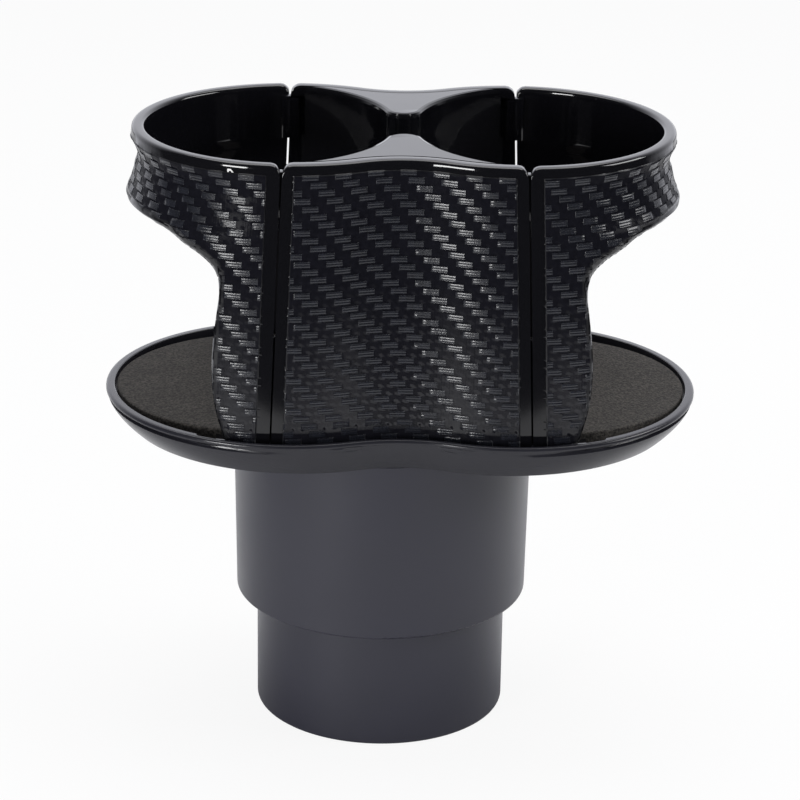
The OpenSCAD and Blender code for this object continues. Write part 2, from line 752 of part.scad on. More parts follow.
// The arm's half of a catch, with the tongue that enters the pillar's pocket
module arm_catch(s) {
    inner_y = cup_r - wall_t;
    z0 = top_z - catch_drop - catch_h;
    x0 = seam_x(z0) + seam_gap / 2;
    translate([x0, s > 0 ? inner_y - catch_depth : -inner_y - 0.6, z0])
        cube([catch_arm_w, catch_depth + 0.6, catch_h]);
    translate([x0 - 1.4, s > 0 ? inner_y - 0.4 - tongue_t : -inner_y + 0.4, z0 + 1.6])
        cube([2, tongue_t, catch_h - 3.2]);
}

module arm(s) {
    color(gloss_black) holder() mirror([s < 0 ? 1 : 0, 0, 0]) union() {
        difference() {
            arm_shell();
            arm_window();
        }
        for (t = [-1, 1]) {
            arm_foot(t);
            arm_catch(t);
        }
    }
}
module arm_left() { arm(-1); }
module arm_right() { arm(1); }

base_cup();
swivel_plate();
plate_screws();
pivot_washer();
pivot_screw();
tray();
pad_left();
pad_right();
pillar_front();
pillar_rear();
panel_front();
panel_rear();
pillar_screws();
arm_left();
arm_right();
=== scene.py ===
"""Looks of a double cup holder for a car: two cup rings on a turning tray over a stepped plug.

Lengths are millimetres in the functions that shape a piece, and metres in Blender.
Shapes are drawn about the holder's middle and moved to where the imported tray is.
"""

import math

import bmesh
import bpy
import numpy as np
from mathutils import Matrix, Vector


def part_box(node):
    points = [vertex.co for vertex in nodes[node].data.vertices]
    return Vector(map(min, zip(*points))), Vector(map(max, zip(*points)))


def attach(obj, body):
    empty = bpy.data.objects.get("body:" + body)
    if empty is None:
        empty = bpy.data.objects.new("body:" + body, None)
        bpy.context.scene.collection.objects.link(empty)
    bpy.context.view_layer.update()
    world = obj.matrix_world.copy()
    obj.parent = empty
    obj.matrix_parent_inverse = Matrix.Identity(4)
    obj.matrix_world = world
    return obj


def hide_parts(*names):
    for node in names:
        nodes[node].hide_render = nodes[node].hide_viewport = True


MM = 0.001

# Heights
TOP = 164.8
DECK = 89.6
WALLS = TOP - DECK

# Cup rings, seams and panels
HALF_PITCH = 29.5
CUP_R = 42.0
WALL_T = 3.5
ARM_WALL = 3.2
PANEL_WALL = 1.5
LIP_H = 3.0
WAIST_TOP = 35.2
WAIST_FOOT = 40.0
LEAN = 2.8
SEAM_TOP = 31.0
SEAM_FOOT = 33.8
SEAM_GAP = 0.45
CORNER_R = 2.6
CORNER_FADE = 14.0
BAND_H = 2.6
ARM_STRIP = 3.4
PANEL_STRIP = 2.9
FIELD_PROUD = 0.3
LIP_ROUND = 1.0
INNER_ROUND = 1.1

# Window under each ring
WINDOW_TOP = DECK + 56.6
LEG_X = 48.9
WINDOW_ROUND = 2.0
BORDER_FLARE = 2.3
BORDER_LEG = 0.6

# Window's free edge from the outer end in: along the row and up
WINDOW_KNOTS = (
    (LEG_X + 27, WINDOW_TOP), (LEG_X + 13, WINDOW_TOP - 2), (LEG_X + 7, WINDOW_TOP - 4.8),
    (LEG_X + 2.1, WINDOW_TOP - 7.3), (LEG_X - 1.2, WINDOW_TOP - 10.5),
    (LEG_X - 2.1, WINDOW_TOP - 15), (LEG_X - 1.4, WINDOW_TOP - 21),
    (LEG_X - 0.4, WINDOW_TOP - 29), (LEG_X, WINDOW_TOP - 38), (LEG_X - 1, WINDOW_TOP - 47),
    (LEG_X - 4.3, DECK - 1),
)
WINDOW_END = LEG_X + 50

# Swelling of a ring, by depth from the top: the neck, then the flared band
RING_SWELL = (
    (0, 0), (2.4, 0), (4, -0.9), (6, -1.8), (7.8, -2.2), (10.4, -1.5), (13.6, -0.9),
    (16.7, 0.3), (18.8, 1.8), (25.8, 2.5), (90, 2.5),
)

# Twill grain: a thread crossing is 2.05 mm square; repeat, float and gap are in crossings
CELL = 2.05
REPEAT = 4
FLOAT_LENGTH = 2
FLOAT_GAP = 0.19
LINES_PER_CELL = 3

# Relief of the twill over its field
FLOAT_RISE = 0.10
FLOAT_CROWN = 0.03
FLOAT_END_DIP = 0.05
GAP_DROP = 0.12
THREAD_DROP = 0.04

# Catches at the top of the seams
CATCH_H = 11
CATCH_DROP = 3.4

# Tray
RIM = 92.9
TRAY_FOOT = 83.9
DECK_T = 2.4
TRAY_R = 50.0
TRAY_WAIST = 45.0
RIM_W = 2.4
SKIRT_IN = 3.6
SKIRT_END_IN = 2.3
RECESS_EDGE = 1.1
RECESS_X = 52.8
WELL_R = 11.0
WELL_WALL = 2
WELL_FOOT = 84.0
WELL_FLOOR = 86.15
RING_R = 31.8
RING_W = 2.2
RING_FOOT = 82.9
PIVOT_HOLE_R = 5.55
SCREW_HOLE_R = 1.55
SCREW_HOLE_Y = (-24.5, -16.5, 16.5, 24.5)
TENON_HALF = (0.8, 4.5)
SLOT_HALF = (1.35, 4.75)
BELOW = 82

# Pads and pillars
PAD_T = 3.0
PAD_R = 38.4
PAD_GAP = 0.5
HOLLOW_R = 38.0
HOLLOW_X = 41.5
HOLLOW_Y = 3.0


def photo_camera(middle):
    """Camera at the photograph's place, looking at the holder's middle."""
    elevation, yaw, roll = 0.3566, -0.0124, 0.0156
    distance, target = 800 * MM, Vector((0.026, 0, 87.2)) * MM
    back = Vector((
        math.sin(yaw) * math.cos(elevation),
        -math.cos(yaw) * math.cos(elevation),
        math.sin(elevation),
    ))
    right = Vector((math.cos(yaw), math.sin(yaw), 0))
    up = back.cross(right)
    across = math.cos(roll) * right + math.sin(roll) * up
    upright = math.cos(roll) * up - math.sin(roll) * right
    data = bpy.data.cameras.new("photo_camera")
    data.sensor_width = 36
    data.lens = 132.4
    data.clip_start, data.clip_end = 0.05, 20
    camera = bpy.data.objects.new("photo_camera", data)
    bpy.context.scene.collection.objects.link(camera)
    turn = Matrix((across, upright, back)).transposed()
    camera.matrix_world = Matrix.Translation(middle + target + distance * back) @ turn.to_4x4()
    bpy.context.scene.camera = camera


def linear(hex_colour):
    """sRGB hex to the linear colour that a shader takes."""
    channels = [int(hex_colour[i:i + 2], 16) / 255 for i in (1, 3, 5)]
    return [c / 12.92 if c <= 0.04045 else ((c + 0.055) / 1.055) ** 2.4 for c in channels] + [1.0]


def add(tree, kind, inputs=None, **settings):
    """Adds a node with its settings; inputs are values, or the sockets that feed them."""
    node = tree.nodes.new("ShaderNode" + kind)
    for name, value in settings.items():
        setattr(node, name, value)
    for name, value in (inputs or {}).items():
        if isinstance(value, bpy.types.NodeSocket):
            tree.links.new(value, node.inputs[name])
        else:
            node.inputs[name].default_value = value
    return node


def new_material(name):
    """Material with its node tree and its shader."""
    material = bpy.data.materials.new(name)
    material.use_nodes = True
    tree = material.node_tree
    return material, tree, tree.nodes["Principled BSDF"]


def polished_abs():
    """ABS moulded against a polished tool.

    It is deep black with clear reflections. They waver a little where the wall has
    shrunk, and handling leaves a faint haze in patches.
    """
    material, tree, shader = new_material("polished_moulded_abs")
    place = add(tree, "TexCoord").outputs["Object"]
    sink_marks = add(tree, "TexNoise", {"Vector": place, "Scale": 1 / (9 * MM), "Detail": 1.0})
    haze = add(tree, "TexNoise", {"Vector": place, "Scale": 1 / (14 * MM), "Detail": 4.0})
    gloss = add(tree, "MapRange", {
        "Value": haze.outputs["Fac"], "From Min": 0.35, "From Max": 0.75,
        "To Min": 0.05, "To Max": 0.11,
    })
    bump = add(tree, "Bump", {
        "Height": sink_marks.outputs["Fac"], "Strength": 0.5, "Distance": 0.05 * MM,
    })
    shader.inputs["Base Color"].default_value = linear("#0b0b0e")
    shader.inputs["IOR"].default_value = 1.53
    tree.links.new(gloss.outputs["Result"], shader.inputs["Roughness"])
    tree.links.new(bump.outputs["Normal"], shader.inputs["Normal"])
    return material


def float_mask(tree, across, down):
    """1 on the floats of the twill and 0 on the threads, where twill_height has them."""
    column = add(tree, "Math", {0: across}, operation="FLOOR").outputs[0]
    row = add(tree, "Math", {0: down}, operation="FLOOR").outputs[0]
    step = add(tree, "Math", {0: column, 1: row}, operation="SUBTRACT").outputs[0]
    turn = add(tree, "Math", {0: step, 1: REPEAT}, operation="FLOORED_MODULO").outputs[0]
    on_turn = add(tree, "Math", {
        0: turn, 1: FLOAT_LENGTH - 0.5,
    }, operation="LESS_THAN").outputs[0]
    in_row = add(tree, "Math", {0: down}, operation="FRACT").outputs[0]
    below_gap = add(tree, "Math", {0: in_row, 1: FLOAT_GAP}, operation="GREATER_THAN").outputs[0]
    return add(tree, "Math", {0: on_turn, 1: below_gap}, operation="MULTIPLY").outputs[0]


def fine_lines(tree, across, down, is_float):
    """Fine lines, along the row on a float, upright and faint on a thread.

    The real ones stand 0.35 mm apart. They are drawn twice as coarse, because they
    would not show.
    """
    turns = LINES_PER_CELL * 2 * math.pi
    by_row = add(tree, "Math", {0: down, 1: turns}, operation="MULTIPLY").outputs[0]
    by_column = add(tree, "Math", {0: across, 1: turns}, operation="MULTIPLY").outputs[0]
    along = add(tree, "Math", {0: by_row}, operation="SINE").outputs[0]
    upright = add(tree, "Math", {0: by_column}, operation="SINE").outputs[0]
    faint = add(tree, "Math", {0: upright, 1: 0.15}, operation="MULTIPLY").outputs[0]
    return add(tree, "Mix", {0: is_float, 2: faint, 3: along}, data_type="FLOAT").outputs[0]


def twill_colour_with_painted_sheen(tree, place, is_float, grain):
    """Blue-black floats painted lighter than the darker threads, a painted sheen, and the black of
    the polished borders.
    """
    shades = add(tree, "TexNoise", {"Vector": place, "Scale": 1 / (1.3 * MM), "Detail": 3.0})
    # painted sheen: floats are coloured lighter than the threads to stand for the light their
    # etched lines catch
    float_tone_painted_sheen = add(tree, "Mix", {
        "Factor": shades.outputs["Fac"], 6: linear("#0d0e12"), 7: linear("#262830"),
    }, data_type="RGBA").outputs[2]
    thread_tone = add(tree, "Mix", {
        "Factor": shades.outputs["Fac"], 6: linear("#0f0f13"), 7: linear("#1a1a20"),
    }, data_type="RGBA").outputs[2]
    tone = add(tree, "Mix", {
        "Factor": is_float, 6: thread_tone, 7: float_tone_painted_sheen,
    }, data_type="RGBA").outputs[2]
    return add(tree, "Mix", {
        "Factor": grain, 6: linear("#0f0f12"), 7: tone,
    }, data_type="RGBA").outputs[2]


def twill_roughness(tree, is_float, grain):
    """Roughness of floats, threads and polished borders.

    The step at the field's edge, where grain is between 0 and 1, is dull, because the
    etching runs out on it.
    """
    etched = add(tree, "Mix", {0: is_float, 2: 0.19, 3: 0.27}, data_type="FLOAT").outputs[0]
    flat = add(tree, "Mix", {0: grain, 2: 0.07, 3: etched}, data_type="FLOAT").outputs[0]
    past = add(tree, "Math", {0: 1.0, 1: grain}, operation="SUBTRACT").outputs[0]
    step = add(tree, "Math", {0: grain, 1: past}, operation="MULTIPLY").outputs[0]
    return add(tree, "Math", {
        0: step, 1: 1.6, 2: flat,
    }, operation="MULTIPLY_ADD").outputs[0]


def twill_shine(tree, place, is_float, grain):
    """Specular level, which fades on the threads from their foot up.

    So they mirror the table near the foot and stay dark above, as in the photo.
    """
    foot, top = 92 * MM, 134 * MM
    height = add(tree, "SeparateXYZ", {"Vector": place}).outputs["Z"]
    on_thread = add(tree, "MapRange", {
        "Value": height, "From Min": foot, "From Max": top, "To Min": 0.5, "To Max": 0.02,
    }).outputs["Result"]
    etched = add(tree, "Mix", {0: is_float, 2: on_thread, 3: 0.5}, data_type="FLOAT").outputs[0]
    return add(tree, "Mix", {0: grain, 2: 0.5, 3: etched}, data_type="FLOAT").outputs[0]


def twill_grained_abs():
    """ABS moulded in one shot against a tool that is part polished, part etched with twill.

    Floats of the twill catch the light from above, and the threads between them stay
    dark; the floats' base colour is also painted lighter, a painted sheen. The etching's
    own grit is finer than 0.1 mm and is drawn coarser, because it would not show.
    The mesh gives the twill's place in UV map twill, one unit to a thread crossing,
    and attribute grain says where the polished borders end.
    """
    material, tree, shader = new_material("twill_grained_moulded_abs")
    place = add(tree, "TexCoord").outputs["Object"]
    twill = add(tree, "SeparateXYZ", {"Vector": add(tree, "UVMap", uv_map="twill").outputs["UV"]})
    across, down = twill.outputs["X"], twill.outputs["Y"]
    grain = add(tree, "Attribute", attribute_name="grain").outputs["Fac"]
    is_float = float_mask(tree, across, down)

    lines = fine_lines(tree, across, down, is_float)
    grit = add(tree, "TexNoise", {"Vector": place, "Scale": 1 / (0.35 * MM), "Detail": 2.0})
    grit_share = add(tree, "Mix", {0: is_float, 2: 0.15, 3: 0.9}, data_type="FLOAT").outputs[0]
    fine = add(tree, "Math", {
        0: grit.outputs["Fac"], 1: grit_share,
    }, operation="MULTIPLY").outputs[0]
    relief = add(tree, "Math", {0: lines, 1: 0.5, 2: fine}, operation="MULTIPLY_ADD").outputs[0]
    on_grain = add(tree, "Math", {0: relief, 1: grain}, operation="MULTIPLY").outputs[0]
    bump = add(tree, "Bump", {"Height": on_grain, "Strength": 0.7, "Distance": 0.06 * MM})

    shader.inputs["IOR"].default_value = 1.53
    tree.links.new(twill_colour_with_painted_sheen(tree, place, is_float, grain), shader.inputs["Base Color"])
    tree.links.new(twill_roughness(tree, is_float, grain), shader.inputs["Roughness"])
    shine = twill_shine(tree, place, is_float, grain)
    tree.links.new(shine, shader.inputs["Specular IOR Level"])
    tree.links.new(bump.outputs["Normal"], shader.inputs["Normal"])
    return material


def satin_abs(name, shade, light, rough, grit_mm, shine=0.5):
    """ABS moulded against a spark-eroded tool: a satin skin with a very fine, even grit.

    The real grit is finer than 0.1 mm. grit_mm draws it coarser, because it would not show.
    """
    material, tree, shader = new_material(name)
    place = add(tree, "TexCoord").outputs["Object"]
    cloud = add(tree, "TexNoise", {"Vector": place, "Scale": 1 / (22 * MM), "Detail": 3.0})
    tone = add(tree, "Mix", {
        "Factor": cloud.outputs["Fac"], 6: linear(shade), 7: linear(light),
    }, data_type="RGBA").outputs[2]
    grit = add(tree, "TexNoise", {"Vector": place, "Scale": 1 / (grit_mm * MM), "Detail": 2.0})
    gloss = add(tree, "MapRange", {
        "Value": cloud.outputs["Fac"], "From Min": 0.3, "From Max": 0.7,
        "To Min": rough - 0.03, "To Max": rough + 0.04,
    })
    bump = add(tree, "Bump", {
        "Height": grit.outputs["Fac"], "Strength": 0.35, "Distance": 0.02 * MM,
    })
    shader.inputs["IOR"].default_value = 1.53
    shader.inputs["Specular IOR Level"].default_value = shine
    tree.links.new(tone, shader.inputs["Base Color"])
    tree.links.new(gloss.outputs["Result"], shader.inputs["Roughness"])
    tree.links.new(bump.outputs["Normal"], shader.inputs["Normal"])
    return material


def cut_eva_foam():
    """EVA foam sheet, die-cut, with its cells opened by skiving.

    The face is brown and quite matt, its open cells painted near black as painted shade
    in the pores. Real cells are 0.2 to 0.5 mm across.
    They are drawn a little coarser, because they would not show.
    """
    material, tree, shader = new_material("die_cut_eva_foam")
    place = add(tree, "TexCoord").outputs["Object"]
    cells = add(tree, "TexVoronoi", {
        "Vector": place, "Scale": 1 / (0.62 * MM), "Randomness": 1.0,
    }, feature="F1")
    speckle = add(tree, "TexNoise", {
        "Vector": place, "Scale": 1 / (0.7 * MM), "Detail": 3.0, "Roughness": 0.7,
    })
    patch = add(tree, "TexNoise", {"Vector": place, "Scale": 1 / (9 * MM), "Detail": 2.0})
    wall_tone = add(tree, "Mix", {
        "Factor": patch.outputs["Fac"], 6: linear("#37332f"), 7: linear("#504c47"),
    }, data_type="RGBA").outputs[2]
    open_cell_painted_shade = add(tree, "MapRange", {
        "Value": speckle.outputs["Fac"], "From Min": 0.40, "From Max": 0.62,
        "To Min": 0.0, "To Max": 1.0,
    })
    # painted shade: the open cells are coloured near black for the shade inside the pores
    colour = add(tree, "Mix", {
        "Factor": open_cell_painted_shade.outputs["Result"], 6: linear("#1c1a18"), 7: wall_tone,
    }, data_type="RGBA").outputs[2]
    depth = add(tree, "Math", {
        0: cells.outputs["Distance"], 1: 0.8, 2: speckle.outputs["Fac"],
    }, operation="MULTIPLY_ADD").outputs[0]
    bump = add(tree, "Bump", {"Height": depth, "Strength": 0.8, "Distance": 0.25 * MM})
    shader.inputs["Roughness"].default_value = 0.92
    shader.inputs["IOR"].default_value = 1.49
    tree.links.new(colour, shader.inputs["Base Color"])
    tree.links.new(bump.outputs["Normal"], shader.inputs["Normal"])
    return material


def zinc_plated_steel():
    """Turned steel with bright zinc plating: pale, faintly blue, with soft turning marks."""
    material, tree, shader = new_material("zinc_plated_turned_steel")
    place = add(tree, "TexCoord").outputs["Object"]
    marks = add(tree, "TexNoise", {"Vector": place, "Scale": 1 / (0.5 * MM), "Detail": 4.0})
    gloss = add(tree, "MapRange", {
        "Value": marks.outputs["Fac"], "From Min": 0.3, "From Max": 0.7,
        "To Min": 0.24, "To Max": 0.42,
    })
    shader.inputs["Base Color"].default_value = linear("#b9bcc0")
    shader.inputs["Metallic"].default_value = 1.0
    tree.links.new(gloss.outputs["Result"], shader.inputs["Roughness"])
    return material


def fall(z):
    """Share of the way from the top of the walls down to the deck."""
    return (TOP - z) / WALLS


def seam_x(z):
    """Distance of a seam's middle from the holder's middle."""
    return SEAM_TOP + (SEAM_FOOT - SEAM_TOP) * fall(z)


def smooth(t):
    """Soft step from 0 to 1."""
    t = np.clip(t, 0, 1)
    return t * t * (3 - 2 * t)


def rounding(distance, radius):
    """How far a rounded edge has drawn back, by distance from the edge."""
    inside = np.clip(radius - distance, 0, radius)
    return radius - np.sqrt(radius * radius - inside * inside)


def outline_y(x, lobe_r, waist):
    """Half depth of two lobes of radius lobe_r joined by a concave waist."""
    fillet = (HALF_PITCH ** 2 + waist ** 2 - lobe_r ** 2) / (2 * (lobe_r - waist))
    meet = HALF_PITCH * fillet / (lobe_r + fillet)
    on_waist = waist + fillet - np.sqrt(np.maximum(fillet ** 2 - x ** 2, 0))
    on_lobe = np.sqrt(np.maximum(lobe_r ** 2 - (np.abs(x) - HALF_PITCH) ** 2, 0))
    return np.where(np.abs(x) < meet, on_waist, on_lobe)


def twill_lines(first, count, fractions):
    """Grid lines that follow the thread crossings."""
    return np.array([first + i + f for i in range(count) for f in fractions])


def twill_height(across, down):
    """Height of the moulded twill, by place in thread crossings.

    A float covers two crossings of four and dips at its ends; each row shifts by one.
    """
    turn = np.mod(np.floor(across) - np.floor(down), REPEAT)
    fa, fd = np.mod(across, 1), np.mod(down, 1)
    from_end = np.maximum(np.minimum(turn + fa, FLOAT_LENGTH - turn - fa), 0)
    dip_reach = 0.12
    on_float = FLOAT_RISE + FLOAT_CROWN * (1 - (2 * fd - 1) ** 2)
    on_float = on_float - FLOAT_END_DIP * np.exp(-from_end / dip_reach)
    on_float = np.where(fd < FLOAT_GAP, -GAP_DROP, on_float)
    on_thread = -THREAD_DROP + THREAD_DROP * (1 - (2 * fa - 1) ** 2)
    return np.where(turn < FLOAT_LENGTH - 0.5, on_float, on_thread)


def new_object(name, points, faces, material):
    """Object of a mesh whose points are in millimetres."""
    mesh = bpy.data.meshes.new(name)
    mesh.from_pydata([tuple(p) for p in np.asarray(points) * MM], [], faces)
    mesh.materials.append(material)
    thing = bpy.data.objects.new(name, mesh)
    bpy.context.scene.collection.objects.link(thing)
    return thing


def shade(thing, sharp_deg=38):
    """Shades an object smooth, but for edges that turn more than the angle."""
    for p in thing.data.polygons:
        p.use_smooth = True
    thing.data.set_sharp_from_angle(angle=math.radians(sharp_deg))


def ring_faces(columns, rows):
    """Quads round every pair of columns, and a face over each end."""
    faces = []
    for c in range(columns - 1):
        a, b = c * rows, (c + 1) * rows
        faces += [(a + r, a + (r + 1) % rows, b + (r + 1) % rows, b + r) for r in range(rows)]
    faces.append(tuple(range(rows - 1, -1, -1)))
    faces.append(tuple((columns - 1) * rows + r for r in range(rows)))
    return faces


def set_grain(thing, twill, grain):
    """Keeps the twill's place and the grain's share on the mesh."""
    mesh = thing.data
    uv = mesh.uv_layers.new(name="twill")
    corner = np.zeros(len(mesh.loops), int)
    mesh.loops.foreach_get("vertex_index", corner)
    uv.data.foreach_set("uv", twill[corner].astype(np.float32).ravel())
    kept = mesh.attributes.new("grain", "FLOAT", "POINT")
    kept.data.foreach_set("value", grain.astype(np.float32))


# Rows of the outer face from the top down: depth, drawing in, share of the proud field
LIP_TURNS = [0, 18, 36, 54, 72, 90]
TOP_ROWS = [
    (LIP_ROUND * (1 - math.cos(math.radians(a))), LIP_ROUND * (1 - math.sin(math.radians(a))), 0)
    for a in LIP_TURNS
]
BAND_ROWS = [
    (1.5, 0, 0), (BAND_H - 0.05, 0, 0), (BAND_H + 0.12, 0, 0.55), (BAND_H + FIELD_PROUD, 0, 1),
]
ROW_LINES = (0.02, 0.17, 0.22, 0.6, 0.97)
COLUMN_LINES = (0.03, 0.5, 0.97)
STRIP_STEPS = (0, 0.05, 0.13, 0.25, 0.42, 0.65, 1)


def outer_depths(first_row):
    """Depth, inset and proud share of each row of the outer face."""
    start = BAND_H + FIELD_PROUD
    count = int((WALLS - start) / CELL) + 2
    rows = twill_lines(0, count, ROW_LINES) - first_row
    rows = rows[(rows * CELL > 0.1) & (start + rows * CELL < WALLS - 0.1)]
    above = np.array(TOP_ROWS + BAND_ROWS, float)
    depths = np.concatenate([above[:, 0], start + rows * CELL, [WALLS]])
    insets = np.concatenate([above[:, 1], np.zeros(len(rows) + 1)])
    proud = np.concatenate([above[:, 2], np.ones(len(rows) + 1)])
    return depths, insets, proud


def strip_columns(width):
    """Distance from the seam and proud share of the columns beside a seam."""
    near = [(CORNER_R * t, 0.0) for t in STRIP_STEPS]
    return near + [(width - 0.05, 0.0), (width + 0.12, 0.55), (width + FIELD_PROUD, 1.0)]


def corner_drop(distance, depth):
    """How far the rounded corner beside a seam has dropped, less and less down the wall."""
    return rounding(distance, CORNER_R) * (1 - smooth(depth / CORNER_FADE))


def even_curve(knots, x):
    """Smooth curve through knots that never swings past them."""
    kx, ky = (np.array(k, float) for k in zip(*knots))
    step, rise = np.diff(kx), np.diff(ky)
    slope = rise / step
    both = slope[:-1] * slope[1:]
    inner = np.where(both > 0, 2 * both / np.where(both > 0, slope[:-1] + slope[1:], 1), 0)
    tangent = np.concatenate([[0], inner, [0]])
    i = np.clip(np.searchsorted(kx, x, side="right") - 1, 0, len(step) - 1)
    t = np.clip((x - kx[i]) / step[i], 0, 1)
    return (
        ky[i] * (1 + 2 * t) * (1 - t) ** 2 + tangent[i] * step[i] * t * (1 - t) ** 2
        + ky[i + 1] * t * t * (3 - 2 * t) + tangent[i + 1] * step[i] * t * t * (t - 1)
    )


def window_edge():
    """Free edge of the window and of a leg, as a smooth line through the knots."""
    knots = np.array(WINDOW_KNOTS)
    points = []
    for i in range(len(knots) - 1):
        a, b = knots[max(i - 1, 0)], knots[i]
        c, d = knots[i + 1], knots[min(i + 2, len(knots) - 1)]
        for t in np.linspace(0, 1, 8, endpoint=False):
            points.append(0.5 * (
                2 * b + (c - a) * t + (2 * a - 5 * b + 4 * c - d) * t ** 2
                + (3 * b - a - 3 * c + d) * t ** 3
            ))
    return np.array(points + [knots[-1]])


def distance_to_window(x, z, edge):
    """Distance from the window's edge, above zero on the plastic."""
    flat = np.stack([x.ravel(), z.ravel()], 1)
    nearest = np.full(len(flat), np.inf)
    for a, b in zip(edge[:-1], edge[1:]):
        span = b - a
        t = np.clip(((flat - a) @ span) / (span @ span), 0, 1)
        nearest = np.minimum(nearest, np.hypot(*(flat - a - t[:, None] * span).T))
    outline = np.vstack([edge, [[WINDOW_END, DECK - 1]], [[WINDOW_END, WINDOW_TOP]]])
    inside = np.zeros(len(flat), bool)
    for (ax, az), (bx, bz) in zip(outline, np.roll(outline, -1, axis=0)):
        crosses = (az > flat[:, 1]) != (bz > flat[:, 1])
        at = ax + (flat[:, 1] - az) * (bx - ax) / (bz - az if bz != az else 1e-9)
        inside ^= crosses & (flat[:, 0] < at)
    return np.where(inside, -nearest, nearest).reshape(x.shape)


def arm_skin(depth, distance, turn, inner, grow):
    """Place on an arm's outer or inner skin, about the holder's middle."""
    z = TOP - depth - corner_drop(distance, depth)
    base = CUP_R + LEAN * fall(z)
    swell = even_curve(RING_SWELL, depth)
    if inner:
        base = CUP_R - WALL_T + (LEAN + WALL_T - ARM_WALL) * fall(z)
        swell = np.maximum(swell, 0) * 0.85
    radius = base + grow
    angle = np.arccos((seam_x(z) + SEAM_GAP / 2 + distance - HALF_PITCH) / radius) * turn
    reach = radius + swell * np.cos(angle)
    return np.stack([HALF_PITCH + reach * np.cos(angle), reach * np.sin(angle), z], -1)


def arm_mesh(name, material, first_across, first_down):
    """Closed mesh of one arm before its window is cut."""
    strips = strip_columns(ARM_STRIP)
    start = strips[-1][0]
    cells, margin = 58, 0.12
    lines = twill_lines(0, cells + REPEAT, COLUMN_LINES) - np.mod(first_across, REPEAT)
    lines = lines[(lines > margin) & (lines < cells - margin)]
    away = [s[0] for s in strips]
    share = [s[1] for s in strips]
    distance = np.array(away + [start] * len(lines) + away[::-1])
    on = np.array(share + [1] * len(lines) + share[::-1])
    turn = np.array([-1] * len(strips) + list(2 * lines / cells - 1) + [1] * len(strips))
    across = np.array([0] * len(strips) + list(lines) + [cells] * len(strips))
    across = across + np.mod(first_across, REPEAT)

    depth, inset, proud = outer_depths(first_down)
    down = (depth - BAND_H - FIELD_PROUD) / CELL + first_down
    d, o, t = distance[:, None], on[:, None], turn[:, None]
    edge = window_edge()
    plain = arm_skin(depth[None], d, t, False, -inset[None])
    rim = distance_to_window(plain[..., 0], plain[..., 2], edge)
    flare_from, flare_over = 16, 10
    up_flare = smooth((plain[..., 2] - WINDOW_TOP + flare_from) / flare_over)
    border = BORDER_LEG + (BORDER_FLARE - BORDER_LEG) * up_flare
    grain = o * proud[None] * smooth((rim - border) / FIELD_PROUD)
    height = twill_height(across[:, None], np.maximum(down, 0)[None]) * np.clip(grain, 0, 1)
    grow = FIELD_PROUD * np.minimum(o, proud[None]) * smooth((rim - border + 0.4) / 0.5)
    edge_round = 0.5 + (WINDOW_ROUND - 0.5) * up_flare
    grow = grow + height - inset[None] - rounding(rim, edge_round)
    outer = arm_skin(depth[None], d, t, False, grow)

    turns = np.radians([12, 30, 50, 70, 90])
    inner_depth = np.concatenate([np.arange(WALLS, 2, -1.6), INNER_ROUND * (1 - np.sin(turns))])
    inner_in = np.zeros(len(inner_depth))
    inner_in[-len(turns):] = INNER_ROUND * (1 - np.cos(turns))
    plain = arm_skin(inner_depth[None], d, t, True, inner_in[None])
    rim_in = distance_to_window(plain[..., 0], plain[..., 2], edge)
    inner = arm_skin(inner_depth[None], d, t, True, inner_in[None] + rounding(rim_in, 0.9))

    points = np.concatenate([outer, inner], 1)
    columns, rows = points.shape[:2]
    thing = new_object(name, points.reshape(-1, 3), ring_faces(columns, rows), material)
    share = np.concatenate([grain, np.zeros(inner.shape[:2])], 1)
    twill = np.zeros((columns, rows, 2))
    twill[..., 0] = across[:, None]
    twill[:, :len(down), 1] = down[None]
    set_grain(thing, twill.reshape(-1, 2), share.ravel())
    return thing


def cut_window(thing):
    """Cuts the window right through an arm, front to rear."""
    edge = window_edge()
    flat = [(WINDOW_END, DECK - 1), (WINDOW_END, WINDOW_TOP)] + [tuple(p) for p in edge]
    n = len(flat)
    through = 80
    points = [(x, y, z) for y in (-through, through) for x, z in flat]
    faces = [tuple(range(n)), tuple(range(2 * n - 1, n - 1, -1))]
    faces += [(i, i + n, (i + 1) % n + n, (i + 1) % n) for i in range(n)]
    cutter = new_object("window_cutter", points, faces, thing.data.materials[0])
    combine(thing, cutter, "DIFFERENCE")


def apply_modifiers(thing):
    """Makes what the modifiers give into the object's own mesh."""
    graph = bpy.context.evaluated_depsgraph_get()
    made = bpy.data.meshes.new_from_object(thing.evaluated_get(graph), depsgraph=graph)
    thing.modifiers.clear()
    thing.data = made


def add_block(mesh, low, high, soft=0.25, turn_deg=0):
    """Adds a small moulded block with softened edges, turned about its own upright axis."""
    low, high = Vector(low), Vector(high)
    turn = Matrix.Rotation(math.radians(turn_deg), 3, "Z")
    made = bmesh.ops.create_cube(mesh, size=1)["verts"]
    for v in made:
        v.co = (low + high) / 2 + turn @ Vector([c * s for c, s in zip(v.co, high - low)])
    edges = list(dict.fromkeys(e for v in made for e in v.link_edges))
    bmesh.ops.bevel(mesh, geom=edges, offset=soft, segments=2, profile=0.7, affect="EDGES")


def tenon_place(side):
    """Angle round the cup and centre of the tongue under a leg."""
    mid_r = CUP_R + LEAN - ARM_WALL / 2
    angle = side * math.acos(((SEAM_FOOT + LEG_X) / 2 - 2 - HALF_PITCH) / mid_r)
    return angle, np.array((HALF_PITCH + mid_r * math.cos(angle), mid_r * math.sin(angle)))


